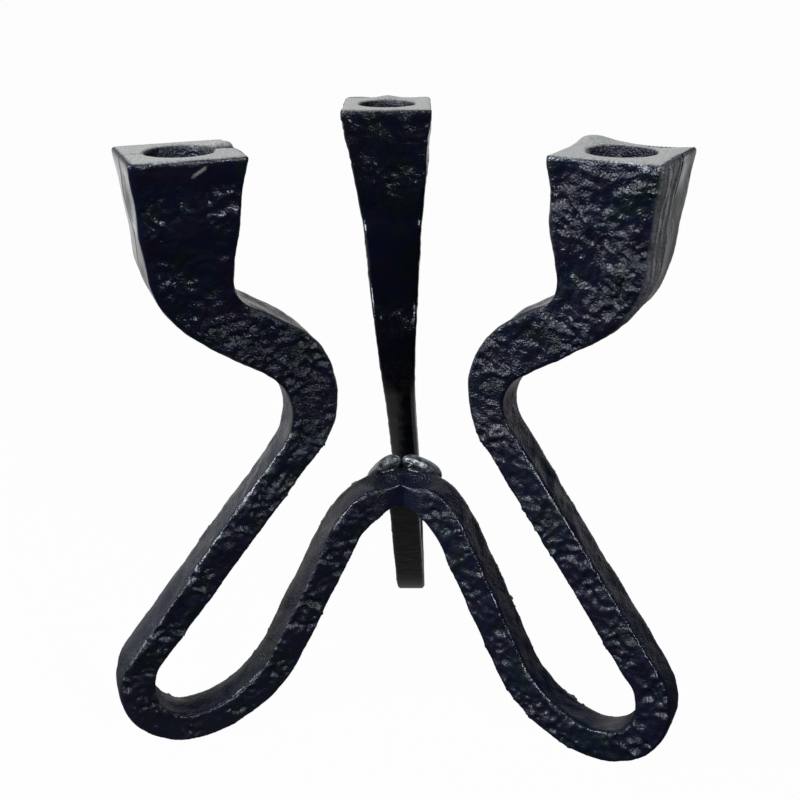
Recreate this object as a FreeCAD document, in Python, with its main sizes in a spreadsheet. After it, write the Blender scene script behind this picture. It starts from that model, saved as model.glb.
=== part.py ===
import FreeCAD, Part
import math
import os

import Sketcher
from FreeCAD import Vector

# A holder for three taper candles: three castings from one pattern, welded together at the crown.
# Each casting is a square bar that comes down from the crown, turns up again in a foot on the
# floor, folds back at the waist and flares into a square head with a candle socket in its top.
# Millimetres and degrees. +Z is up, the floor is z = 0, and the origin is under the holder's middle.

SIZES = {
    # Head: radial reach of the socket's centre, width along the arm, depth across it
    "height": 226.0,
    "head_reach": 78.3,
    "head_width": 37.4,
    "head_depth": 36.2,
    "head_lean": 6.1,
    "head_flare": 5.3,
    "head_inner_bend": 12.6,
    "head_outer_bend": 42.0,
    "socket_bore": 22.5,
    "socket_depth": 22.0,
    "socket_chamfer": 0.8,
    # Neck: its rise from the waist's centre to the head's inner face, slopes of its top and underside
    "neck_height": 45.2,
    "neck_top_slope": 31.3,
    "neck_under_slope": 32.8,
    # Waist: centre and radius of its inside bend, the bar's width there, radius of its outside
    "waist_reach": 62.0,
    "waist_height": 133.0,
    "waist_bend": 17.8,
    "waist_width": 13.0,
    "waist_round": 34.8,
    # Bar, and the flare of its depth from the waist up to the head
    "bar_width": 12.8,
    "bar_depth": 12.1,
    "flare_angle": 7.2,
    "flare_bend": 560.0,
    "edge_round": 1.2,
    # Least straight stretch, or gap, beside a bend that its wall limits
    "bend_gap": 0.5,
    # Foot: reach of its bend, inside radii of the bend and of the sweep into it, depth of the flat
    "foot_reach": 86.8,
    "foot_bend": 14.8,
    "sweep_bend": 40.3,
    "foot_flat": 0.5,
    # Crown: height of its top, radius of its underside, slope of the leg that comes down from it
    "crown_height": 97.4,
    "crown_bend": 22.8,
    "leg_slope": 61.8,
    # Each arm's direction seen from above, from +X anticlockwise
    "right_azimuth": -27.6,
    "rear_azimuth": 90.6,
    "left_azimuth": 202.3,
    # Each arm's lean, as welded, towards its anticlockwise side
    "right_lean": 1.7,
    "rear_lean": 2.4,
    "left_lean": 0.7,
    # How each arm strays from the pattern: its head and foot further out, the head's inner face
    # leaning more, the waist higher and its inside bend wider
    "right_head_shift": 0.6,
    "right_head_tilt": -1.1,
    "right_waist_lift": 1.8,
    "right_waist_ease": -3.2,
    "right_foot_shift": -0.6,
    "rear_head_shift": 0.2,
    "rear_head_tilt": -1.5,
    "rear_waist_lift": -0.6,
    "rear_waist_ease": -0.5,
    "rear_foot_shift": 7.0,
    "left_head_shift": -1.5,
    "left_head_tilt": 2.3,
    "left_waist_lift": -2.7,
    "left_waist_ease": 3.1,
    "left_foot_shift": 0.1,
    # Weld beads on the crown's two rear corners, and how far each stays from the crown's axis
    "bead_length": 16.0,
    "bead_width": 10.0,
    "bead_height": 7.5,
    "bead_tilt": 34.0,
    "bead_gap": 1.5,
    # Weld along the crease in front
    "seam_length": 11.5,
    "seam_width": 11.0,
    "seam_depth": 4.4,
}

# Sizes of each arm's own: the pattern's, and how far the arm strays from them. The last two are
# radii of bends that their walls limit.
OWN_SIZES = {
    "head_reach": "head_reach + {side}_head_shift",
    "head_lean": "head_lean + {side}_head_tilt",
    "waist_reach": "waist_reach + {side}_waist_ease",
    "waist_height": "waist_height + {side}_waist_lift",
    "waist_bend": "waist_bend + {side}_waist_ease",
    "neck_height": "neck_height - {side}_waist_lift",
    "foot_reach": "foot_reach + {side}_foot_shift",
    "foot_round": (
        "min(foot_bend; (({side}_foot_reach * sin(leg_slope) - crown_bend - bar_width - bend_gap)"
        " - (crown_height - crown_bend - 2 * bar_width + foot_flat) * cos(leg_slope))"
        " / (1 - cos(leg_slope)))"
    ),
    "jowl_round": (
        "min(head_outer_bend; (((height - {side}_waist_height) * cos(neck_under_slope)"
        " - {side}_waist_bend"
        " - ({side}_head_reach + head_width / 2 - {side}_waist_reach) * sin(neck_under_slope))"
        " / cos(head_flare + neck_under_slope) - bend_gap)"
        " / tan(45 - (head_flare + neck_under_slope) / 2))"
    ),
}

# How far the bars have flared at the crown's middle height, and their depth there
CROWN_SIZES = {
    "flare_start": (
        "height - (head_depth - bar_depth) / 2 / tan(flare_angle)"
        " - flare_bend * tan(flare_angle / 2)"
    ),
    "flare_rise": "max(0; crown_height - bar_width / 2 - flare_start)",
    "blend_rise": "min(flare_rise; flare_bend * sin(flare_angle))",
    "crown_depth": (
        "bar_depth + 2 * (flare_bend - sqrt(flare_bend ^ 2 - blend_rise ^ 2)"
        " + (flare_rise - blend_rise) * tan(flare_angle))"
    ),
}

ARMS = ["right", "rear", "left"]
FULL_TURN = math.degrees(math.tau)
UP = Vector(0, 0, 1)

# How a sketch numbers the ends of a line or arc, its centre, and its own origin and axes
START, END, CENTRE = range(1, 4)
LEVEL_AXIS, UPRIGHT_AXIS = range(-1, -3, -1)
ORIGIN = (LEVEL_AXIS, START)

doc = FreeCAD.newDocument("triple_candle_holder")
sheet = doc.addObject("Spreadsheet::Sheet", "Sheet")


def set_size(row, alias, value):
    """Writes one named value or formula into the sheet."""
    sheet.set(f"A{row}", alias)
    sheet.set(f"B{row}", f"={value}" if isinstance(value, str) else f"{value:.4f}")
    sheet.setAlias(f"B{row}", alias)


def size(alias):
    return float(sheet.get(alias))


def polar(centre, radius, degrees):
    angle = math.radians(degrees)
    return centre + Vector(math.cos(angle), math.sin(angle)) * radius


def direction(degrees):
    return polar(Vector(), 1, degrees)


def meeting(first, first_heading, second, second_heading):
    """Where two lines meet, each given by a point and its heading."""
    along, across = direction(first_heading), direction(second_heading + 90)
    return first + along * ((second - first).dot(across) / along.dot(across))


def bend_centre(corner, heading, turned, radius):
    """Centre of the arc that rounds a corner where a run turns from one heading to another."""
    side = 90 if turned > heading else -90
    back = radius * math.tan(math.radians(abs(turned - heading)) / 2)
    return polar(polar(corner, -back, heading), radius, heading + side)


def crossing_heading(first, first_radius, second, second_radius):
    """Heading of the line that leaves one circle anticlockwise and joins another clockwise."""
    span = second - first
    lean = math.asin((first_radius + second_radius) / span.Length)
    return math.degrees(math.atan2(span.y, span.x) + lean)


class Run:
    """A closed run of lines and arcs in a sketch, each starting where the one before ends."""

    def __init__(self, sketch):
        self.sketch = sketch
        self.stretches = []

    def line(self, start, end):
        number = self.sketch.addGeometry(Part.LineSegment(start, end), False)
        self.stretches.append((number, START, END))
        return number

    def arc(self, centre, radius, start, end):
        """Angles in degrees; the arc runs clockwise where the end is the smaller."""
        low, high = sorted((math.radians(start), math.radians(end)))
        shape = Part.ArcOfCircle(Part.Circle(centre, UP, radius), low, high)
        number = self.sketch.addGeometry(shape, False)
        ends = (START, END) if end > start else (END, START)
        self.stretches.append((number, *ends))
        return number

    def join(self, corners=None):
        """Closes the run: smooth joints, apart from those that start a corner's second stretch."""
        following = self.stretches[1:] + self.stretches[:1]
        for here, after in zip(self.stretches, following):
            sharp = corners is None or after[0] in corners
            kind = "Coincident" if sharp else "Tangent"
            tie(self.sketch, kind, here[0], here[2], after[0], after[1])


def tie(sketch, kind, *where):
    return sketch.addConstraint(Sketcher.Constraint(kind, *where))


def bind(sketch, formula, kind, *where):
    """Adds a dimension to a sketch and ties it to the sheet."""
    value = float(sketch.evalExpression(formula))
    if kind == "Angle":
        value = math.radians(value)
    number = tie(sketch, kind, *where, value)
    sketch.setExpression(f"Constraints[{number}]", formula)


def marker(sketch, point, lines):
    """A construction point that stays on the given lines."""
    number = sketch.addGeometry(Part.Point(point), True)
    for line in lines:
        tie(sketch, "PointOnObject", number, START, line)
    return number


def new_sketch(body, name, role):
    sketch = body.newObject("Sketcher::SketchObject", name)
    plane = [item for item in body.Origin.OriginFeatures if item.Role == role][0]
    sketch.AttachmentSupport = [(plane, "")]
    sketch.MapMode = "FlatFace"
    return sketch


def draw_outline(sketch, side):
    """An arm seen square on: x is the reach from the crown's axis, y the height above the floor."""
    bar = size("bar_width")
    slope = size("leg_slope")
    neck_top, neck_under = size("neck_top_slope"), size("neck_under_slope")
    inner_face, outer_face = 90 + size(f"{side}_head_lean"), 90 - size("head_flare")

    # Centres of the bends, from the crown to the waist
    crown_inside, crown_outside = size("crown_bend"), size("crown_bend") + bar
    foot_inside, foot_outside = size(f"{side}_foot_round"), size(f"{side}_foot_round") + bar
    sweep_inside, sweep_outside = size("sweep_bend"), size("sweep_bend") + bar
    crown = Vector(0, size("crown_height") - crown_outside)
    foot = Vector(size(f"{side}_foot_reach"), foot_outside - size("foot_flat"))
    waist = Vector(size(f"{side}_waist_reach"), size(f"{side}_waist_height"))
    waist_inside = size(f"{side}_waist_bend")
    beside_leg = polar(crown, crown_outside + sweep_inside, 90 - slope)
    off_leg = (foot - beside_leg).dot(direction(90 - slope))
    ahead = (foot - beside_leg).dot(direction(-slope))
    sweep = polar(beside_leg, ahead - math.sqrt((sweep_inside - foot_inside) ** 2 - off_leg ** 2), -slope)
    swept = math.degrees(math.atan2(foot.y - sweep.y, foot.x - sweep.x))

    # Headings of the outer leg's two edges, and the corners above the waist
    waist_outside = waist_inside + size("waist_width")
    inside_leg = crossing_heading(foot, foot_inside, waist, waist_outside)
    outside_leg = crossing_heading(foot, foot_outside, waist, waist_inside)
    rim_in = Vector(size(f"{side}_head_reach") - size("head_width") / 2, size("height"))
    rim_out = rim_in + Vector(size("head_width"), 0)
    head_height = size("height") - size(f"{side}_waist_height") - size(f"{side}_neck_height")
    rise = head_height / math.sin(math.radians(inner_face))
    crook = polar(rim_in, -rise, inner_face)
    leg_end = polar(foot, foot_inside, inside_leg - 90)
    fold = meeting(leg_end, inside_leg, crook, neck_top)
    under_start = polar(waist, waist_inside, neck_under + 90)
    jowl = meeting(under_start, neck_under, rim_out, outer_face)
    fold_centre = bend_centre(fold, inside_leg, neck_top, size("waist_round"))
    crook_centre = bend_centre(crook, neck_top, inner_face, size("head_inner_bend"))
    jowl_centre = bend_centre(jowl, neck_under, outer_face, size(f"{side}_jowl_round"))

    # Edge towards the holder's middle, from the crown's top to the head's rim
    run = Run(sketch)
    crown_top = run.arc(crown, crown_outside, 90, 90 - slope)
    leg_top = run.line(polar(crown, crown_outside, 90 - slope), polar(sweep, sweep_inside, -90 - slope))
    sweep_in = run.arc(sweep, sweep_inside, -90 - slope, swept)
    foot_in = run.arc(foot, foot_inside, swept, inside_leg - 90)
    fold_start = polar(fold_centre, size("waist_round"), inside_leg + 90)
    outer_leg_in = run.line(leg_end, fold_start)
    waist_out = run.arc(fold_centre, size("waist_round"), inside_leg + 90, neck_top + 90)
    fold_end = polar(fold_centre, size("waist_round"), neck_top + 90)
    crook_start = polar(crook_centre, size("head_inner_bend"), neck_top - 90)
    neck_over = run.line(fold_end, crook_start)
    crook_bend = run.arc(crook_centre, size("head_inner_bend"), neck_top - 90, inner_face - 90)
    head_in = run.line(polar(crook_centre, size("head_inner_bend"), inner_face - 90), rim_in)
    rim = run.line(rim_in, rim_out)

    # The other edge, from the rim back to the crown's underside
    jowl_end = polar(jowl_centre, size(f"{side}_jowl_round"), outer_face - 90)
    jowl_start = polar(jowl_centre, size(f"{side}_jowl_round"), neck_under - 90)
    head_out = run.line(rim_out, jowl_end)
    jowl_bend = run.arc(jowl_centre, size(f"{side}_jowl_round"), outer_face - 90, neck_under - 90)
    neck_below = run.line(jowl_start, under_start)
    waist_in = run.arc(waist, waist_inside, neck_under + 90, outside_leg + 90)
    outside_end = polar(foot, foot_outside, outside_leg - 90)
    outer_leg_out = run.line(polar(waist, waist_inside, outside_leg + 90), outside_end)
    foot_out = run.arc(foot, foot_outside, outside_leg - 90, swept)
    sweep_out = run.arc(sweep, sweep_outside, swept, -90 - slope)
    under_end = polar(crown, crown_inside, 90 - slope)
    leg_under = run.line(polar(sweep, sweep_outside, -90 - slope), under_end)
    crown_under = run.arc(crown, crown_inside, 90 - slope, 90)
    end_face = run.line(polar(crown, crown_inside, 90), polar(crown, crown_outside, 90))
    run.join([rim, head_out, end_face, crown_top])

    tie(sketch, "PointOnObject", crown_top, CENTRE, UPRIGHT_AXIS)
    tie(sketch, "PointOnObject", crown_top, END, UPRIGHT_AXIS)
    tie(sketch, "PointOnObject", crown_under, END, UPRIGHT_AXIS)
    tie(sketch, "Coincident", crown_under, CENTRE, crown_top, CENTRE)
    tie(sketch, "Coincident", foot_out, CENTRE, foot_in, CENTRE)
    tie(sketch, "Parallel", leg_under, leg_top)
    tie(sketch, "Horizontal", rim)
    bind(sketch, "Sheet.crown_height", "DistanceY", *ORIGIN, crown_top, END)
    bind(sketch, "Sheet.crown_bend", "Radius", crown_under)
    bind(sketch, "Sheet.crown_bend + Sheet.bar_width", "Radius", crown_top)
    bind(sketch, "-Sheet.leg_slope", "Angle", leg_top)
    bind(sketch, "Sheet.sweep_bend", "Radius", sweep_in)
    bind(sketch, "Sheet.sweep_bend + Sheet.bar_width", "Radius", sweep_out)
    bind(sketch, f"Sheet.{side}_foot_reach", "DistanceX", *ORIGIN, foot_in, CENTRE)
    foot_rise = f"Sheet.{side}_foot_round + Sheet.bar_width - Sheet.foot_flat"
    bind(sketch, foot_rise, "DistanceY", *ORIGIN, foot_in, CENTRE)
    bind(sketch, f"Sheet.{side}_foot_round", "Radius", foot_in)
    bind(sketch, f"Sheet.{side}_foot_round + Sheet.bar_width", "Radius", foot_out)
    bind(sketch, f"Sheet.{side}_waist_reach", "DistanceX", *ORIGIN, waist_in, CENTRE)
    bind(sketch, f"Sheet.{side}_waist_height", "DistanceY", *ORIGIN, waist_in, CENTRE)
    bind(sketch, f"Sheet.{side}_waist_bend", "Radius", waist_in)
    across_waist = f"Sheet.{side}_waist_bend + Sheet.waist_width"
    bind(sketch, across_waist, "Distance", waist_in, CENTRE, outer_leg_in)
    bind(sketch, "Sheet.waist_round", "Radius", waist_out)
    bind(sketch, "Sheet.neck_top_slope", "Angle", neck_over)
    bind(sketch, "Sheet.head_inner_bend", "Radius", crook_bend)
    bind(sketch, f"90 + Sheet.{side}_head_lean", "Angle", head_in)
    crook_mark = marker(sketch, crook, [neck_over, head_in])
    bind(sketch, f"Sheet.{side}_neck_height", "DistanceY", waist_in, CENTRE, crook_mark, START)
    bind(sketch, "Sheet.height", "DistanceY", *ORIGIN, rim, START)
    bind(sketch, f"Sheet.{side}_head_reach - Sheet.head_width / 2", "DistanceX", *ORIGIN, rim, START)
    bind(sketch, "Sheet.head_width", "DistanceX", rim, START, rim, END)
    bind(sketch, "-90 - Sheet.head_flare", "Angle", head_out)
    bind(sketch, f"Sheet.{side}_jowl_round", "Radius", jowl_bend)
    bind(sketch, "Sheet.neck_under_slope - 180", "Angle", neck_below)


def draw_side_scrap(sketch, lean, side):
    """What is cut from one side of the stock, seen from the arm's end: side is 1 or -1."""
    lean_angle, flare = size(lean), size("flare_angle")
    middle = size("crown_height") - size("bar_width") / 2
    shift = (size("height") - middle) * math.tan(math.radians(lean_angle))
    bar_point = Vector(side * size("bar_depth") / 2, middle)
    head_point = Vector(shift + side * size("head_depth") / 2, size("height"))
    upright, flared = 90 - lean_angle, 90 - lean_angle - side * flare
    low, high = Vector(0, -size("bar_width")), Vector(0, size("height") + size("bar_width"))
    beyond = Vector(side * 2 * size("head_depth"), 0)
    corner = meeting(bar_point, upright, head_point, flared)
    centre = bend_centre(corner, upright, flared, size("flare_bend"))
    quarter = -90 * side

    run = Run(sketch)
    bar_low = meeting(bar_point, upright, low, 0)
    flare_high = meeting(head_point, flared, high, 0)
    bar_line = run.line(bar_low, polar(centre, size("flare_bend"), upright - quarter))
    blend = run.arc(centre, size("flare_bend"), upright - quarter, flared - quarter)
    flare_line = run.line(polar(centre, size("flare_bend"), flared - quarter), flare_high)
    top = run.line(flare_high, high + beyond)
    outside = run.line(high + beyond, low + beyond)
    bottom = run.line(low + beyond, bar_low)
    run.join([top, outside, bottom, bar_line])

    bar_mark = marker(sketch, bar_point, [bar_line])
    head_mark = marker(sketch, head_point, [flare_line])
    tie(sketch, "Horizontal", top)
    tie(sketch, "Vertical", outside)
    tie(sketch, "Horizontal", bottom)
    middle_formula = "(Sheet.crown_height - Sheet.bar_width / 2)"
    bind(sketch, f"{side} * Sheet.bar_depth / 2", "DistanceX", *ORIGIN, bar_mark, START)
    bind(sketch, middle_formula, "DistanceY", *ORIGIN, bar_mark, START)
    shift_formula = f"(Sheet.height - {middle_formula}) * tan(Sheet.{lean})"
    head_formula = f"{shift_formula} + {side} * Sheet.head_depth / 2"
    bind(sketch, head_formula, "DistanceX", *ORIGIN, head_mark, START)
    bind(sketch, "Sheet.height", "DistanceY", *ORIGIN, head_mark, START)
    bind(sketch, f"90 - Sheet.{lean}", "Angle", bar_line)
    bind(sketch, f"90 - Sheet.{lean} - {side} * Sheet.flare_angle", "Angle", flare_line)
    bind(sketch, "Sheet.flare_bend", "Radius", blend)
    bind(sketch, "Sheet.height + Sheet.bar_width", "DistanceY", *ORIGIN, top, END)
    bind(sketch, "-Sheet.bar_width", "DistanceY", *ORIGIN, bottom, START)
    bind(sketch, f"{side} * 2 * Sheet.head_depth", "DistanceX", *ORIGIN, outside, START)


def draw_mitre(sketch, after, before):
    """What is cut from the crown's end, seen from above, so that three arms meet on its axis."""
    reach, back = 2 * size("bar_depth"), -size("bar_depth")
    after_angle = float(sketch.evalExpression(after))
    before_angle = float(sketch.evalExpression(before))
    far_after = polar(Vector(), reach, after_angle)
    far_before = polar(Vector(), reach, -before_angle)

    run = Run(sketch)
    after_side = run.line(Vector(), far_after)
    after_top = run.line(far_after, Vector(back, far_after.y))
    behind = run.line(Vector(back, far_after.y), Vector(back, far_before.y))
    before_top = run.line(Vector(back, far_before.y), far_before)
    before_side = run.line(far_before, Vector())
    run.join()
    tie(sketch, "Coincident", after_side, START, *ORIGIN)
    tie(sketch, "Horizontal", after_top)
    tie(sketch, "Vertical", behind)
    tie(sketch, "Horizontal", before_top)
    bind(sketch, after, "Angle", after_side)
    bind(sketch, f"180 - ({before})", "Angle", before_side)
    bind(sketch, "2 * Sheet.bar_depth", "Distance", after_side)
    bind(sketch, "2 * Sheet.bar_depth", "Distance", before_side)
    bind(sketch, "-Sheet.bar_depth", "DistanceX", *ORIGIN, behind, START)


def draw_circle(sketch, x_formula, y_formula, radius_formula):
    centre = Vector(float(sketch.evalExpression(x_formula)), float(sketch.evalExpression(y_formula)))
    radius = float(sketch.evalExpression(radius_formula))
    number = sketch.addGeometry(Part.Circle(centre, UP, radius), False)
    bind(sketch, x_formula, "DistanceX", *ORIGIN, number, CENTRE)
    bind(sketch, y_formula, "DistanceY", *ORIGIN, number, CENTRE)
    bind(sketch, radius_formula, "Radius", number)


def sharp_edges(shape):
    """Names of the edges where two faces meet at an angle, apart from those on the crown's axis."""
    smooth = math.radians(5)
    on_axis = 0.01
    names = []
    for number, edge in enumerate(shape.Edges, start=1):
        faces = shape.ancestorsOfType(edge, Part.Face)
        middle = edge.valueAt((edge.FirstParameter + edge.LastParameter) / 2)
        normals = [face.normalAt(*face.Surface.parameter(middle)) for face in faces]
        if edge.BoundBox.XMax > on_axis and normals[0].getAngle(normals[1]) > smooth:
            names.append(f"Edge{number}")
    return names


def cut(body, name, sketch, both_ways):
    """Cuts a sketch right through, one way or both, and checks that it took something away."""
    before = body.Shape.Volume
    pocket = body.newObject("PartDesign::Pocket", name)
    pocket.Profile = sketch
    pocket.Type = "ThroughAll"
    pocket.SideType = "Symmetric" if both_ways else "One side"
    doc.recompute()
    assert body.Shape.Volume < before, f"{body.Label}: {name} cuts nothing"
    return pocket


def make_arm(side):
    """One casting, trimmed at the crown for its place among the three."""
    place = ARMS.index(side)
    lean = f"{side}_lean"
    halves = []
    for first, second in ((place, place + 1), (place - 1, place)):
        turn = FULL_TURN if first < 0 or second == len(ARMS) else 0
        first_side, second_side = ARMS[first], ARMS[second % len(ARMS)]
        halves.append(f"(Sheet.{second_side}_azimuth + {turn} - Sheet.{first_side}_azimuth) / 2")

    body = doc.addObject("PartDesign::Body", f"{side}_arm")
    outline = new_sketch(body, f"{side}_outline", "XZ_Plane")
    draw_outline(outline, side)
    stock = body.newObject("PartDesign::Pad", f"{side}_stock")
    stock.Profile = outline
    stock.SideType = "Symmetric"
    stock.setExpression("Length", "2 * Sheet.head_depth")
    doc.recompute()

    scrap = new_sketch(body, f"{side}_side_view", "YZ_Plane")
    draw_side_scrap(scrap, lean, 1)
    draw_side_scrap(scrap, lean, -1)
    flared = cut(body, f"{side}_flare", scrap, True)

    rounds = body.newObject("PartDesign::Fillet", f"{side}_rounds")
    rounds.Base = (flared, sharp_edges(flared.Shape))
    rounds.setExpression("Radius", "Sheet.edge_round")
    doc.recompute()

    mitre = new_sketch(body, f"{side}_mitre_plan", "XY_Plane")
    draw_mitre(mitre, *halves)
    cut(body, f"{side}_mitre", mitre, True)

    tread = new_sketch(body, f"{side}_tread_plan", "XY_Plane")
    draw_circle(tread, f"Sheet.{side}_foot_reach", "0", f"Sheet.{side}_foot_round + Sheet.bar_width")
    cut(body, f"{side}_tread", tread, False)

    middle = "(Sheet.crown_height - Sheet.bar_width / 2)"
    mouth = new_sketch(body, f"{side}_mouth", "XY_Plane")
    mouth.setExpression("AttachmentOffset.Base.z", "Sheet.height")
    shift = f"(Sheet.height - {middle}) * tan(Sheet.{lean})"
    draw_circle(mouth, f"Sheet.{side}_head_reach", shift, "Sheet.socket_bore / 2")
    socket = body.newObject("PartDesign::Pocket", f"{side}_socket")
    socket.Profile = mouth
    socket.setExpression("Length", "Sheet.socket_depth")
    doc.recompute()

    level = 0.01
    mouth_edges = [f"Edge{number}" for number, edge in enumerate(socket.Shape.Edges, start=1)
                   if edge.isClosed() and edge.BoundBox.ZMin > size("height") - level]
    lip = body.newObject("PartDesign::Chamfer", f"{side}_lip")
    lip.Base = (socket, mouth_edges)
    lip.setExpression("Size", "Sheet.socket_chamfer")
    body.setExpression(
        "Placement",
        "placement(vector(Sheet.crown_x; Sheet.crown_y; 0);"
        f" rotation(vector(0; 0; 1); Sheet.{side}_azimuth))",
    )
    doc.recompute()
    return body


def make_bead(name, first, second, turn, metal, form):
    """Weld metal in the corner between two arms, shaped by what it lies against."""
    heading = f"((Sheet.{first}_azimuth + Sheet.{second}_azimuth + {turn}) / 2)"
    puddle = doc.addObject("Part::Ellipsoid", f"{name}_puddle")
    puddle.setExpression("Radius2", f"{form['along']} / 2")
    puddle.setExpression("Radius3", f"{form['across']} / 2")
    puddle.setExpression("Radius1", f"{form['tall']} / 2")
    puddle.setExpression(
        "Placement",
        f"placement(vector(Sheet.crown_x + ({form['out']}) * cos({heading});"
        f" Sheet.crown_y + ({form['out']}) * sin({heading}); {form['level']});"
        f" rotation({heading}; {form['tilt']}; 0))",
    )
    bead = doc.addObject("Part::Cut", name)
    bead.Base = puddle
    bead.Tool = metal
    return bead


def main():
    own_sizes = {f"{side}_{name}": formula.format(side=side)
                 for side in ARMS for name, formula in OWN_SIZES.items()}
    cells = {**SIZES, **own_sizes, **CROWN_SIZES}
    for row, (alias, value) in enumerate(cells.items(), start=1):
        set_size(row, alias, value)
    # The crown's axis in plan, measured below so that the origin lies under the holder's middle
    axis_row = len(cells) + 1
    set_size(axis_row, "crown_x", 0)
    set_size(axis_row + 1, "crown_y", 0)
    doc.recompute()

    arms = [make_arm(side) for side in ARMS]
    span = FreeCAD.BoundBox()
    for arm in arms:
        span.add(arm.Shape.optimalBoundingBox(False))
    set_size(axis_row, "crown_x", -span.Center.x)
    set_size(axis_row + 1, "crown_y", -span.Center.y)

    metal = doc.addObject("Part::Compound", "castings")
    metal.Links = arms
    corner_bead = {
        "along": "Sheet.bead_length",
        "across": "Sheet.bead_width",
        "tall": "Sheet.bead_height",
        "out": "Sheet.bead_length / 2 * cos(Sheet.bead_tilt) + Sheet.bead_gap",
        "level": "Sheet.crown_height",
        "tilt": "Sheet.bead_tilt",
    }
    crease_half = f"((Sheet.right_azimuth + {FULL_TURN} - Sheet.left_azimuth) / 2)"
    crease_bead = {
        "along": "Sheet.seam_depth",
        "across": "Sheet.seam_width",
        "tall": "Sheet.seam_length",
        "out": f"Sheet.crown_depth / 2 / sin({crease_half})",
        "level": "Sheet.crown_height - Sheet.bar_width / 2",
        "tilt": "0",
    }
    welds = [
        make_bead("rear_right_weld", "right", "rear", 0, metal, corner_bead),
        make_bead("rear_left_weld", "rear", "left", 0, metal, corner_bead),
        make_bead("front_weld", "left", "right", FULL_TURN, metal, crease_bead),
    ]
    doc.recompute()

    for item in doc.Objects:
        assert not {"Invalid", "Error"} & set(item.State), f"{item.Label} failed: {item.State}"
    pieces = arms + welds
    for piece in pieces:
        whole = not piece.Shape.isNull() and piece.Shape.isValid() and len(piece.Shape.Solids) == 1
        assert whole, f"{piece.Label} is not one sound solid"
    os.makedirs("parts", exist_ok=True)
    for piece in pieces:
        piece.Shape.exportStep(os.path.join("parts", f"{piece.Label}.step"))
        print(f"{piece.Label}: {piece.Shape.Volume / 1000:.2f} cm3")


main()
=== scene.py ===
import math
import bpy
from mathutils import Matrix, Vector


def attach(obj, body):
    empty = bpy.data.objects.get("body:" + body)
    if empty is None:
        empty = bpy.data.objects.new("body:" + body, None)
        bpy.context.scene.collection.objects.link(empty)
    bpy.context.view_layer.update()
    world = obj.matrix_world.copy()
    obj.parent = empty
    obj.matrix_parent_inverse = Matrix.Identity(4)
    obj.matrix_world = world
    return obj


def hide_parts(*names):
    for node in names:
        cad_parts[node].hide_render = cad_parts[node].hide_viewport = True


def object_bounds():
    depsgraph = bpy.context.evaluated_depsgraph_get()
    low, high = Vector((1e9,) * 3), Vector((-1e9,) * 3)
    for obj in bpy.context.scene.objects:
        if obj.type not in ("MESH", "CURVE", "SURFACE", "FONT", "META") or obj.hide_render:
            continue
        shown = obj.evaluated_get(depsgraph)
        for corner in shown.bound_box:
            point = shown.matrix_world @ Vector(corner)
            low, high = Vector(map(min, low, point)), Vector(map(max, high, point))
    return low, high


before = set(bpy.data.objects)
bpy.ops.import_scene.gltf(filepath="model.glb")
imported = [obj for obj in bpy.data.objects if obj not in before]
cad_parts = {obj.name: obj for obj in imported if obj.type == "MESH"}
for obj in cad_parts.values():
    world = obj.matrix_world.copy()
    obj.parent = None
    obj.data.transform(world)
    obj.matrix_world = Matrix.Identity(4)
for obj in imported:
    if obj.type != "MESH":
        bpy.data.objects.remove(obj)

from types import SimpleNamespace

import bpy
import numpy as np
from mathutils import Matrix, Vector

# A holder for three taper candles: three black iron castings, welded together where their legs
# meet. Metres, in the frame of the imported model: +Z is up, -Y faces the viewer, the floor is z = 0.

MM = 0.001
cad_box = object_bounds()
HEIGHT = cad_box[1][2]

# As the part's source has them: the crown's axis in plan and the height of its middle, the sockets,
# and for each casting its direction and lean in degrees and how far out its socket's axis is
CROWN = np.array([2.8257, -31.205]) * MM
CROWN_MIDDLE = 91.0 * MM
BORE_RADIUS = 11.25 * MM
SOCKET_DEPTH = 22 * MM
AZIMUTHS = {"left": 202.3, "right": -27.6, "rear": 90.6}
LEANS = {"left": 0.7, "right": 1.7, "rear": 2.4}
HEAD_REACH = {"left": 76.8 * MM, "right": 78.9 * MM, "rear": 78.5 * MM}

# Which side of each casting faces the viewer, how coarse its sand was, and how much smoother its head is
FRONT = {"left": 1, "right": -1, "rear": -1}
COARSE = {"left": 0.95, "right": 0.95, "rear": 0.5}
SMOOTH_HEAD = {"left": 0.65, "right": 0, "rear": 0.3}

# How far the crown's underside was cut up into each front casting
ARCH_RISE = {"left": 1.0 * MM, "right": 2.0 * MM}

# The bright scratch on the left head: out from the socket's axis, and above the floor
SCRATCH_OUT = -2.6 * MM
SCRATCH_HEIGHT = 222 * MM

# The small faces that a surface is made again in, on a casting and on a bead
CASTING_FACE = 0.65 * MM
BEAD_FACE = 0.3 * MM

# How squarely a face looks one way, from where it begins to count to where it counts in full
SQUARELY = (0.72, 0.96)


# How a piece is taken in hand, shaped and finished

def take(piece):
    """Selects one piece alone, ready for an operator."""
    bpy.ops.object.select_all(action="DESELECT")
    piece.select_set(True)
    bpy.context.view_layer.objects.active = piece


def work(piece, kind, **settings):
    """Adds a modifier to a piece and applies it."""
    take(piece)
    modifier = piece.modifiers.new(kind.title(), kind)
    for name, value in settings.items():
        setattr(modifier, name, value)
    bpy.ops.object.modifier_apply(modifier=modifier.name)


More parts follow.
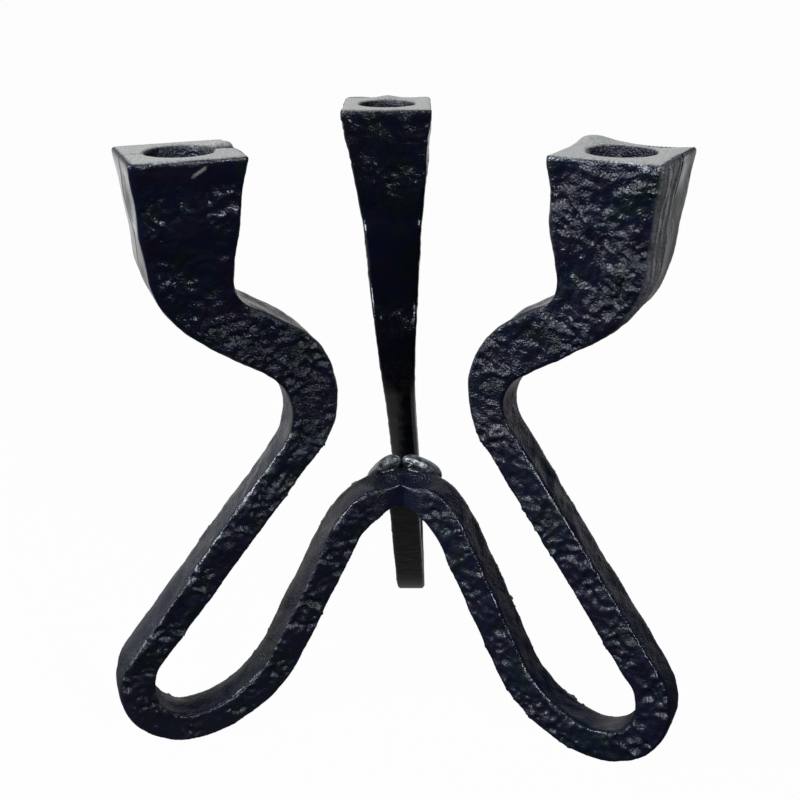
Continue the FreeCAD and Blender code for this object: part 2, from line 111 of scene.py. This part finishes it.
def rough_copy(node_name, piece_name, face):
    """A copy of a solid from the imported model, its surface made again in even small faces."""
    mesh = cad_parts[node_name].data.copy()
    mesh.name = piece_name
    mesh.materials.clear()
    piece = bpy.data.objects.new(piece_name, mesh)
    bpy.context.scene.collection.objects.link(piece)
    take(piece)
    bpy.ops.object.mode_set(mode="EDIT")
    bpy.ops.mesh.select_all(action="SELECT")
    bpy.ops.mesh.remove_doubles(threshold=0.001 * MM)
    bpy.ops.object.mode_set(mode="OBJECT")
    work(piece, "REMESH", mode="VOXEL", voxel_size=face, adaptivity=0)
    work(piece, "SMOOTH", factor=0.5, iterations=2)
    return piece


def mark_out(piece, name, weights):
    """Marks how strongly each point of a piece takes the next step, in twentieths."""
    group = piece.vertex_groups.new(name=name)
    twentieths = np.round(np.clip(weights, 0, 1) * 20).astype(int)
    for count in range(1, 21):
        points = np.flatnonzero(twentieths == count)
        if len(points):
            group.add(points.tolist(), count / 20, "REPLACE")
    return group.name


def raise_skin(piece, name, weights, height, pattern=None, middle=0.5, way="NORMAL"):
    """Moves a piece's skin by up to a height where it is marked.

    With a pattern, its lows and highs go to either side of its middle level.
    """
    settings = {"strength": height, "vertex_group": mark_out(piece, name, weights), "direction": way}
    if pattern:
        settings.update(texture=pattern, texture_coords="LOCAL", mid_level=middle)
    else:
        settings.update(mid_level=0)
    work(piece, "DISPLACE", **settings)


def note_on(piece, name, values):
    """Keeps a value from 0 to 1 at each point of a piece, for its finish to read."""
    note = piece.data.attributes.new(name, "FLOAT", "POINT")
    note.data.foreach_set("value", np.clip(values, 0, 1))


def finish_piece(piece, node_name, material):
    """Gives a piece its finish and puts it in its solid's place."""
    take(piece)
    bpy.ops.object.shade_smooth()
    piece.vertex_groups.clear()
    piece.data.materials.append(material)
    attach(piece, "root")
    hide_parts(node_name)


# Where things are on a piece

def points_of(piece):
    """The places of a piece's points, one row each."""
    flat = np.empty(len(piece.data.vertices) * 3)
    piece.data.vertices.foreach_get("co", flat)
    return flat.reshape(-1, 3)


def normals_of(piece):
    """The way that the surface looks at each point of a piece."""
    flat = np.empty(len(piece.data.vertices) * 3)
    piece.data.vertex_normals.foreach_get("vector", flat)
    return flat.reshape(-1, 3)


def ease(values, low, high):
    """0 below low, 1 above high, and a smooth rise between."""
    t = np.clip((values - low) / (high - low), 0, 1)
    return t * t * (3 - 2 * t)


def fade(values, low, high):
    """1 below low, 0 above high, and a smooth fall between."""
    return 1 - ease(values, low, high)


def line(distance, width):
    """1 on a line, a spot or a level, and nothing away from it."""
    return np.exp(-(distance / width) ** 2)


def at_least(low, share):
    """A share from 0 to 1, squeezed to lie between low and 1."""
    return low + (1 - low) * share


def patches(points, size):
    """Smooth patches of about a size, between 0 and 1."""
    ways = ((1.0, 0.4, 0.7), (-0.5, 0.9, 0.6), (0.3, -0.8, 1.1))
    waves = [np.sin(points @ np.array(way) * math.pi / size + start) for start, way in enumerate(ways)]
    return ease(sum(waves), -1.2, 1.2)


def from_crown(points):
    """Level distance from the crown's axis."""
    return np.hypot(*(points[:, :2] - CROWN).T)


def directions(side):
    """Level directions along an arm and across it, to its anticlockwise side."""
    angle = math.radians(AZIMUTHS[side])
    return np.array([math.cos(angle), math.sin(angle)]), np.array([-math.sin(angle), math.cos(angle)])


def place_on_arm(side, points):
    """Distance out from the socket's axis, distance in front of the arm's middle, and height."""
    along, across = directions(side)
    plan = points[:, :2] - CROWN
    lean = (points[:, 2] - CROWN_MIDDLE) * math.tan(math.radians(LEANS[side]))
    return plan @ along - HEAD_REACH[side], FRONT[side] * (plan @ across - lean), points[:, 2]


def survey(piece, side):
    """Where each point of a bare casting is, and from 0 to 1 how far it belongs to each place there.

    The places are the broad faces, the rim, the brim just under it, the socket, and the head's outer
    face. The rear casting's inner face counts as broad, because it is the one that the viewer sees.
    """
    points = points_of(piece)
    normals = normals_of(piece)
    facing = normals[:, :2]
    along, across = directions(side)
    out, front, height = place_on_arm(side, points)
    broad = ease(abs(facing @ across), *SQUARELY)
    if side == "rear":
        broad = np.maximum(broad, ease(-facing @ along, *SQUARELY))
    bottom = HEIGHT - SOCKET_DEPTH
    socket = fade(np.hypot(out, front), BORE_RADIUS + 0.2 * MM, BORE_RADIUS + 0.8 * MM)
    wander = 0.5 * MM * np.sin(out / (2.1 * MM)) + 0.3 * MM * np.sin(height / (3.7 * MM))
    return SimpleNamespace(
        points=points, normals=normals, along=along,
        out=out, front=front, height=height,
        from_axis=from_crown(points),
        from_parting=front + wander,
        broad=broad,
        rim=ease(normals[:, 2], 0.6, 0.9) * ease(height, HEIGHT - 3 * MM, HEIGHT - 1 * MM),
        brim=ease(height, HEIGHT - 4 * MM, HEIGHT - 1 * MM),
        socket=socket * ease(height, bottom - 2 * MM, bottom),
        outer=ease(facing @ along, 0.5, 0.9) * ease(height, 150 * MM, 180 * MM),
    )


# The castings

def relief(name, kind, **settings):
    """A plain solid pattern that gives a skin its relief."""
    pattern = bpy.data.textures.new(name, kind)
    for key, value in settings.items():
        setattr(pattern, key, value)
    return pattern


# From the waviness of the pattern that was cut for the mould down to the grains of its sand
WOBBLE = relief("cut_pattern", "CLOUDS", noise_scale=13 * MM, noise_depth=0,
                noise_basis="IMPROVED_PERLIN")
WAVES = relief("mould_waves", "CLOUDS", noise_scale=10 * MM, noise_depth=1,
               noise_basis="IMPROVED_PERLIN")
CHIPS = relief("sand_chips", "DISTORTED_NOISE", noise_scale=6 * MM, distortion=1.3,
               noise_basis="VORONOI_F1", noise_distortion="IMPROVED_PERLIN")
FLAKES = relief("sand_flakes", "VORONOI", noise_scale=3.2 * MM)
GRAINS = relief("sand_grains", "CLOUDS", noise_scale=1.6 * MM, noise_depth=1,
                noise_basis="IMPROVED_PERLIN")


def cast_arm(side):
    """One casting with the skin that its sand mould left on it, and its own marks."""
    piece = rough_copy(f"{side}_arm", f"{side}_casting", CASTING_FACE)
    at = survey(piece, side)
    skin = sandy_skin(side, at)
    grain = skin * at_least(0.5, at.broad) * at_least(0.4, patches(at.points, 14 * MM))
    rough = grain * at_least(0.25, at.broad)
    head = ease(at.height, 155 * MM, 180 * MM) * (1 - at.rim) * (1 - at.socket)
    raise_skin(piece, "wobble", head, 2.0 * MM, WOBBLE)
    raise_skin(piece, "waves", skin * at_least(0.7, at.broad), 2.0 * MM, WAVES, middle=0.38)
    raise_skin(piece, "chips", rough, 1.3 * MM, CHIPS, middle=0.04)
    raise_skin(piece, "flakes", rough, 1.2 * MM, FLAKES)
    raise_skin(piece, "grains", rough, 0.8 * MM, GRAINS)
    raise_skin(piece, "fullness", at.outer, 0.6 * MM)
    bared = HEAD_MARKS[side](piece, at)
    mark_crown(piece, side, at)
    if side == "left":
        wear_loop(piece, at)
    note_finish(piece, side, at, skin, grain)
    # Pale grey on the rims and marks: partly bare ground iron, and on the rims partly a painted
    # reflection of the pale surround
    note_on(piece, "ground", at.rim + bared)
    # The rear casting takes the smoother lacquer whose darker tints are painted shade
    finish_piece(piece, f"{side}_arm", SMOOTH_IRON_WITH_PAINTED_SHADE if side == "rear" else IRON)


def sandy_skin(side, at):
    """How strongly the sand marked each point of a casting."""
    tread = fade(at.height, 0.4 * MM, 2.5 * MM)
    joint = fade(at.from_axis, 6 * MM, 13 * MM)
    head = SMOOTH_HEAD[side] * ease(at.height, 165 * MM, 195 * MM)
    skin = COARSE[side] * np.clip(1 - 0.9 * at.rim - tread - 0.7 * joint - head, 0, 1)
    skin *= 1 - 0.7 * at.outer * ease(-at.front, 0, 3 * MM)
    skin *= 1 - 0.7 * at.brim
    if side == "rear":
        skin *= at_least(0.3, ease(at.height, 180 * MM, 200 * MM))
    if side == "left":
        from_scratch = np.hypot(at.out - SCRATCH_OUT, at.height - SCRATCH_HEIGHT + 1 * MM)
        skin *= 1 - 0.9 * line(from_scratch, 5 * MM)
    return skin


def mark_left_head(piece, at):
    """A lump and a crack on the inner rim, a shallow seam on the outer side and a scratch in front.

    Like the next two, it returns where the marks bare the iron more, or less, than the rim does, whose
    pale grey is partly bare iron and partly a painted sheen.
    """
    inner_rim = at.rim * ease(-at.out, BORE_RADIUS, BORE_RADIUS + 1.5 * MM)
    outer_rim = at.rim * ease(at.out, BORE_RADIUS, BORE_RADIUS + 1.5 * MM)
    lump = line(np.hypot(at.out + 15 * MM, at.front + 4 * MM), 6 * MM)
    crack = line(at.from_parting, 1.3 * MM) * inner_rim
    seam = line(at.from_parting, 0.7 * MM)
    # The scratch falls outwards at 30 degrees
    beside = at.out - SCRATCH_OUT
    above = at.height - SCRATCH_HEIGHT
    off_its_line = 0.5 * beside + 0.87 * above
    past_its_ends = np.maximum(abs(beside) - 1.9 * MM, 0)
    from_scratch = np.hypot(off_its_line, past_its_ends)
    scratch = line(from_scratch, 0.35 * MM) * ease(at.front, 10 * MM, 14 * MM)
    raise_skin(piece, "lump", lump * at.rim, 1.4 * MM, way="Z")
    raise_skin(piece, "crack", crack, -2.6 * MM)
    raise_skin(piece, "seam", seam * np.clip(outer_rim + 0.5 * at.outer, 0, 1), -0.5 * MM)
    raise_skin(piece, "scratch", scratch, -0.1 * MM)
    return scratch - 2 * crack - 0.5 * seam * outer_rim


def mark_right_head(piece, at):
    """A hump and a dip along the back of the rim, and an outer face with a step, a seam and streaks."""
    hump = line(np.hypot(at.out + 14 * MM, at.front + 13 * MM), 6 * MM)
    dip = line(np.hypot((at.out - 6 * MM) / 2, at.front + 16 * MM), 4 * MM)
    step = at.outer * ease(at.front, -0.4 * MM, 0.8 * MM)
    seam = at.outer * line(at.from_parting, 0.7 * MM)
    nearer = at.outer * ease(at.front, 0, 2 * MM)
    wide_streaks = np.sin(at.front / (0.9 * MM) + 2 * np.sin(at.height / (9 * MM)))
    fine_streaks = np.sin(at.front / (0.43 * MM) + at.height / (11 * MM))
    streaks = nearer * ease(wide_streaks + fine_streaks, -0.5, 1.5)
    raise_skin(piece, "hump", hump * at.rim, 2.0 * MM, way="Z")
    raise_skin(piece, "dip", dip * at.rim, -1.2 * MM, way="Z")
    raise_skin(piece, "step", step, 0.5 * MM)
    raise_skin(piece, "seam", seam, -1.3 * MM)
    raise_skin(piece, "streaks", streaks, 0.4 * MM)
    return 0.2 * nearer


def mark_rear_head(piece, at):
    """A small bump on the back of the rim."""
    bump = line(np.hypot(at.out - 17 * MM, at.front), 4 * MM)
    raise_skin(piece, "bump", bump * at.rim, 0.9 * MM, way="Z")
    return 0


HEAD_MARKS = {"left": mark_left_head, "right": mark_right_head, "rear": mark_rear_head}


def mark_crown(piece, side, at):
    """Where the castings meet: the mitre is closed, and the bend was dressed by hand."""
    ahead = np.clip((CROWN[1] - at.points[:, 1]) / (6 * MM), 0, 1)
    top = ease(at.normals[:, 2], 0.3, 0.8) * ease(at.height, 60 * MM, 70 * MM)
    mitre = ease(-at.normals[:, :2] @ at.along, 0.2, 0.6) * fade(at.from_axis, 9 * MM, 12 * MM)
    raise_skin(piece, "mitre", mitre, 0.5 * MM)
    if side != "rear":
        saddle = top * ahead * fade(at.from_axis, 5 * MM, 17 * MM)
        under = ease(-at.normals[:, 2], 0.3, 0.8) * fade(at.from_axis, 10 * MM, 19 * MM)
        raise_skin(piece, "saddle", saddle, -4.2 * MM, way="Z")
        raise_skin(piece, "arch", under, ARCH_RISE[side], way="Z")
    dressed = ahead * fade(at.from_axis, 10 * MM, 17 * MM) * ease(at.height, 82 * MM, 88 * MM)
    work(piece, "SMOOTH", factor=0.5, iterations=80, vertex_group=mark_out(piece, "dressed", dressed))
    if side == "right":
        shoulder = top * line(at.from_axis - 20 * MM, 8 * MM)
        raise_skin(piece, "shoulder", shoulder, 1.3 * MM)


def wear_loop(piece, at):
    """The inside of the left foot's loop, worn down towards the viewer."""
    out = (points_of(piece)[:, :2] - CROWN) @ at.along
    inside = ease(at.normals[:, 2], 0.1, 0.5) * fade(at.height, 60 * MM, 80 * MM)
    inside *= ease(out, 20 * MM, 30 * MM)
    raise_skin(piece, "worn", inside * ease(at.front, -3 * MM, 6 * MM), -1.6 * MM)


def note_finish(piece, side, at, skin, grain):
    """Notes for the lacquer how much grit shows at each point, and how dull handling has made it.

    The lacquer is thin in the socket, along the brim, on the waist and at the crown. On the front
    castings it is thin on top of the neck too, and on the rear one on the head.
    """
    waist = COARSE[side] * at.broad * line(at.height - 130 * MM, 30 * MM)
    crown = fade(at.from_axis, 12 * MM, 20 * MM)
    thin = 0.5 * waist + 0.9 * at.socket + 0.4 * at.brim * (1 - at.rim) + 0.5 * crown
    if side == "rear":
        thin += 0.3 * at.broad * ease(at.height, 185 * MM, 200 * MM)
        handled = np.zeros(len(at.height))
    else:
        thin += ease(at.normals[:, 2], 0.3, 0.6) * line(at.height - 152 * MM, 20 * MM)
        handled = at.broad * fade(at.height, 110 * MM, 140 * MM)
    sand = 0.7 * grain + 0.3 * skin * at_least(0.5, at.broad) + 0.1 * at.rim + thin
    note_on(piece, "sand", sand * (1 - 0.45 * handled))
    note_on(piece, "handled", handled)


# The welds

def lay_bead(name, node_name, slump, run, crater):
    """A bead of weld metal on the crown, with the crater where its pool froze last.

    The bead's far end hangs by the slump and is drawn aside by the run. The crater is a place across
    the view and upwards from the bead's middle, and a radius.
    """
    piece = rough_copy(node_name, name, BEAD_FACE)
    outwards = from_crown(points_of(piece))
    raise_skin(piece, "slump", ease(outwards, 5 * MM, 15 * MM), -slump, way="Z")
    raise_skin(piece, "run", ease(outwards, 6 * MM, 14 * MM), run, way="X")
    raise_skin(piece, "settle", ease(-normals_of(piece)[:, 1], 0.2, 0.9), 0.8 * MM, way="Y")
    points = points_of(piece)
    normals = normals_of(piece)
    middle = (points.min(axis=0) + points.max(axis=0)) / 2
    facing = ease(normals[:, 2] - 0.6 * normals[:, 1], 0.2, 0.8)
    across, up, radius = crater
    apart = np.hypot(points[:, 0] - middle[0] - across, points[:, 2] - middle[2] - up)
    raise_skin(piece, "ring", facing * line(apart - radius, 0.5 * MM), 1.1 * MM)
    raise_skin(piece, "crater", facing * line(apart, 0.6 * radius), -2.6 * MM)
    finish_piece(piece, node_name, WELD)


def fill_crease():
    """The weld in the crease in front, ground back flat and lacquered over."""
    piece = rough_copy("front_weld", "crease_bead", BEAD_FACE)
    everywhere = np.ones(len(piece.data.vertices))
    ground_to = CROWN[1] - 7.3 * MM
    at_most = 3 * MM
    raise_skin(piece, "swell", everywhere, 1.0 * MM)
    raise_skin(piece, "saddle", ease(points_of(piece)[:, 2], 88 * MM, 97 * MM), -2.2 * MM, way="Z")
    raise_skin(piece, "ground", (ground_to - points_of(piece)[:, 1]) / at_most, at_most, way="Y")
    work(piece, "SMOOTH", factor=0.5, iterations=30)
    note_on(piece, "sand", 0.5 * everywhere)
    finish_piece(piece, "front_weld", IRON)


# Finishes

def paint(hex_colour):
    """A written sRGB colour as linear light."""
    levels = [int(hex_colour[i:i + 2], 16) / 255 for i in (1, 3, 5)]
    return [v / 12.92 if v <= 0.04045 else ((v + 0.055) / 1.055) ** 2.4 for v in levels] + [1]


def per(size):
    """How often a pattern of this size repeats in a metre."""
    return 1 / size


def new_finish(name):
    """An empty material and its tree of nodes."""
    material = bpy.data.materials.new(name)
    material.use_nodes = True
    material.node_tree.nodes.clear()
    return material, material.node_tree


def add(tree, kind, links=None, values=None, **settings):
    """Adds a node: its settings, the values of its sockets and what is linked into them."""
    node = tree.nodes.new(kind)
    for name, value in settings.items():
        setattr(node, name, value)
    for socket, value in (values or {}).items():
        node.inputs[socket].default_value = value
    for socket, source in (links or {}).items():
        tree.links.new(source, node.inputs[socket])
    return node


def black_lacquer(name, roughness, tooth, tints):
    """Black lacquer brushed thinly over iron as it left the sand mould.

    Nearly black, in patches a little blue, purple or green, with a satin gloss that shines on lumps
    and goes pale at a glance along the surface. It is duller where the sand's grit shows through it
    and where the legs are handled. Pale grey shows on the rims: partly grey iron where the tops were
    ground flat, and partly a painted reflection of the pale surround.
    """
    patchiness = 0.06
    dulled_by_grit = 0.17
    dulled_by_hands = 0.13
    material, tree = new_finish(name)
    where = add(tree, "ShaderNodeTexCoord").outputs["Object"]
    sand = add(tree, "ShaderNodeAttribute", attribute_name="sand").outputs["Fac"]
    handled = add(tree, "ShaderNodeAttribute", attribute_name="handled").outputs["Fac"]
    ground = add(tree, "ShaderNodeAttribute", attribute_name="ground").outputs["Fac"]

    cloud = add(tree, "ShaderNodeTexNoise", {"Vector": where}, {"Scale": per(12 * MM), "Detail": 3.0})
    colour = add(tree, "ShaderNodeValToRGB", {"Fac": cloud.outputs["Fac"]})
    ramp = colour.color_ramp.elements
    ramp.new(0.5)
    for stop, place, tint in zip(ramp, (0.36, 0.5, 0.64), tints):
        stop.position = place
        stop.color = paint(tint)

    patch = add(tree, "ShaderNodeTexNoise", {"Vector": where}, {"Scale": per(6 * MM), "Detail": 4.0})
    gloss = add(tree, "ShaderNodeMapRange", {"Value": patch.outputs["Fac"]},
                {"From Min": 0.3, "From Max": 0.7,
                 "To Min": roughness - patchiness, "To Max": roughness + patchiness})
    dry = add(tree, "ShaderNodeMath", {0: sand, 2: gloss.outputs["Result"]}, {1: dulled_by_grit},
              operation="MULTIPLY_ADD")
    dull = add(tree, "ShaderNodeMath", {0: handled, 2: dry.outputs[0]}, {1: dulled_by_hands},
               operation="MULTIPLY_ADD")

    # Moulding sand is about 0.3 mm across, too fine to show, so its grit is drawn coarser
    grit = add(tree, "ShaderNodeTexNoise", {"Vector": where}, {"Scale": per(0.85 * MM), "Detail": 2.0})
    depth = add(tree, "ShaderNodeMapRange", {"Value": patch.outputs["Fac"]},
                {"From Min": 0.4, "From Max": 0.65, "To Min": 0.45, "To Max": 1.0})
    strength = add(tree, "ShaderNodeMath", {0: depth.outputs["Result"], 1: sand}, operation="MULTIPLY")
    skin = add(tree, "ShaderNodeBump", {"Height": grit.outputs["Fac"], "Strength": strength.outputs[0]},
               {"Distance": tooth})

    # The pale grey mixed in where noted is partly bare iron and partly a painted reflection of the pale
    # surround on the rims
    worn = add(tree, "ShaderNodeMapRange", {"Value": grit.outputs["Fac"]},
               {"From Min": 0.35, "From Max": 0.6, "To Min": 0.5, "To Max": 1.0})
    bared = add(tree, "ShaderNodeMath", {0: worn.outputs["Result"], 1: ground}, operation="MULTIPLY")
    lacquer_bare_iron_and_painted_sheen = add(tree, "ShaderNodeMix", {0: bared.outputs[0], 6: colour.outputs["Color"]},
               {7: paint("#a3a19b")}, data_type="RGBA")
    shader = add(tree, "ShaderNodeBsdfPrincipled",
                 {"Base Color": lacquer_bare_iron_and_painted_sheen.outputs[2], "Roughness": dull.outputs[0],
                  "Normal": skin.outputs["Normal"]},
                 {"IOR": 1.5, "Specular IOR Level": 0.5})
    add(tree, "ShaderNodeOutputMaterial", {"Surface": shader.outputs["BSDF"]})
    return material


def weld_steel(name):
    """Steel as it froze from the rod, in small ripples, with a wipe of the lacquer left in patches."""
    material, tree = new_finish(name)
    where = add(tree, "ShaderNodeTexCoord").outputs["Object"]
    wipe = add(tree, "ShaderNodeTexNoise", {"Vector": where}, {"Scale": per(3 * MM), "Detail": 4.0})
    colour = add(tree, "ShaderNodeValToRGB", {"Fac": wipe.outputs["Fac"]})
    for stop, place, tint in zip(colour.color_ramp.elements, (0.38, 0.58), ("#4a4b50", "#a6a7a9")):
        stop.position = place
        stop.color = paint(tint)
    ripple = add(tree, "ShaderNodeTexNoise", {"Vector": where}, {"Scale": per(1.2 * MM), "Detail": 2.0})
    skin = add(tree, "ShaderNodeBump", {"Height": ripple.outputs["Fac"]},
               {"Distance": 0.4 * MM, "Strength": 0.5})
    shader = add(tree, "ShaderNodeBsdfPrincipled",
                 {"Base Color": colour.outputs["Color"], "Normal": skin.outputs["Normal"]},
                 {"Metallic": 1.0, "Roughness": 0.46})
    add(tree, "ShaderNodeOutputMaterial", {"Surface": shader.outputs["BSDF"]})
    return material


def pale_floor(name):
    """Matt white studio paper. The camera sees it white, with the holder's shadow left on it.

    Reflections see it white behind the holder and dim towards the viewer, as the surround is. To
    light that bounces it is grey, so that the holder isn't lit from below.
    """
    material, tree = new_finish(name)
    where = add(tree, "ShaderNodeTexCoord").outputs["Object"]
    paper = add(tree, "ShaderNodeBsdfDiffuse", values={"Color": paint("#606060")})
    glow = add(tree, "ShaderNodeEmission", values={"Color": paint("#ffffff"), "Strength": 1.05})
    lit = add(tree, "ShaderNodeMixShader", {1: paper.outputs[0], 2: glow.outputs[0]}, {"Fac": 0.93})
    brightness = behind(tree, where, left=0.3, near=-0.1, far=0.9, brightest=1.1)
    sheen = add(tree, "ShaderNodeEmission", {"Strength": brightness})
    ray = add(tree, "ShaderNodeLightPath").outputs
    shiny = add(tree, "ShaderNodeMixShader",
                {"Fac": ray["Is Glossy Ray"], 1: paper.outputs[0], 2: sheen.outputs[0]})
    seen = add(tree, "ShaderNodeMixShader",
               {"Fac": ray["Is Camera Ray"], 1: shiny.outputs[0], 2: lit.outputs[0]})
    add(tree, "ShaderNodeOutputMaterial", {"Surface": seen.outputs[0]})
    return material


def behind(tree, where, left, near, far, brightest):
    """Brightness of the studio: dim up to near, bright from far, measured back, down and partly left."""
    back = add(tree, "ShaderNodeVectorMath", {0: where}, {1: (-left, 1, -0.6)}, operation="DOT_PRODUCT")
    level = add(tree, "ShaderNodeMapRange", {"Value": back.outputs["Value"]},
                {"From Min": near, "From Max": far, "To Min": 0.02, "To Max": brightest})
    return level.outputs["Result"]


IRON = black_lacquer("black_lacquer_on_cast_iron", roughness=0.19, tooth=1.1 * MM,
                     tints=("#0e0b1a", "#060b1d", "#071013"))
# A smoother copy for the rear casting. Its darker tints are painted shade, for a casting that stands
# further back from the lamps
SMOOTH_IRON_WITH_PAINTED_SHADE = black_lacquer("black_lacquer_on_smooth_iron_with_painted_shade", roughness=0.14, tooth=0.9 * MM,
                            tints=("#09070f", "#040714", "#05090c"))
WELD = weld_steel("wiped_weld_steel")


# Studio

def studio():
    """White floor, a pale surround that is dimmer towards the viewer, and two soft lamps."""
    bpy.ops.object.select_all(action="DESELECT")
    bpy.ops.mesh.primitive_plane_add(size=16, location=(0, 0, 0))
    floor = bpy.context.active_object
    floor.name = "floor"
    floor.data.materials.append(pale_floor("white_studio_paper"))

    world = bpy.data.worlds.new("studio")
    bpy.context.scene.world = world
    world.use_nodes = True
    tree = world.node_tree
    tree.nodes.clear()
    way = add(tree, "ShaderNodeTexCoord").outputs["Generated"]
    brightness = behind(tree, way, left=0.6, near=-0.3, far=0.7, brightest=0.8)
    surround = add(tree, "ShaderNodeBackground", {"Strength": brightness})
    white = add(tree, "ShaderNodeBackground", values={"Color": paint("#ffffff"), "Strength": 1.0})
    ray = add(tree, "ShaderNodeLightPath").outputs
    seen = add(tree, "ShaderNodeMixShader",
               {"Fac": ray["Is Camera Ray"], 1: surround.outputs[0], 2: white.outputs[0]})
    add(tree, "ShaderNodeOutputWorld", {"Surface": seen.outputs[0]})

    hang_lamp("key_lamp", spot=(-0.8, -0.55, 0.75), width=0.5, watts=22)
    hang_lamp("fill_lamp", spot=(0.6, -0.8, 0.6), width=0.35, watts=8.5)


def hang_lamp(name, spot, width, watts):
    """A square soft lamp that points at the holder's middle."""
    light = bpy.data.lights.new(name, "AREA")
    light.shape = "SQUARE"
    light.size = width
    light.energy = watts
    light.color = paint("#e6eef8")[:3]
    lamp = bpy.data.objects.new(name, light)
    bpy.context.scene.collection.objects.link(lamp)
    lamp.location = spot
    aim = Vector((0, 0, HEIGHT / 2)) - lamp.location
    lamp.rotation_euler = aim.to_track_quat("-Z", "Y").to_euler()


def set_camera():
    """The photograph's camera, found by fitting the castings' outline to it."""
    lens_pixels = 1182.27
    frame_pixels = 800
    sensor = 36
    spot = (0.011954, -0.445198, 0.292864)
    turned_left = math.radians(1.2907)
    tipped_up = math.radians(90 - 21.8347)
    rolled = math.radians(-0.4066)
    camera = bpy.data.objects.new("camera", bpy.data.cameras.new("camera"))
    camera.data.sensor_width = sensor
    camera.data.lens = sensor * lens_pixels / frame_pixels
    camera.data.clip_start = 10 * MM
    bpy.context.scene.collection.objects.link(camera)
    turn = Matrix.Rotation(turned_left, 4, "Z")
    tip = Matrix.Rotation(tipped_up, 4, "X")
    roll = Matrix.Rotation(rolled, 4, "Z")
    camera.matrix_world = Matrix.Translation(spot) @ turn @ tip @ roll
    bpy.context.scene.camera = camera


for arm_side in AZIMUTHS:
    cast_arm(arm_side)
lay_bead("left_bead", "rear_left_weld", slump=3 * MM, run=-0.5 * MM,
         crater=(-1.6 * MM, 0.2 * MM, 1.3 * MM))
lay_bead("right_bead", "rear_right_weld", slump=1.5 * MM, run=2.5 * MM,
         crater=(-5.4 * MM, 2.7 * MM, 1.6 * MM))
fill_crease()
studio()
set_camera()
bpy.context.scene.view_settings.view_transform = "Standard"
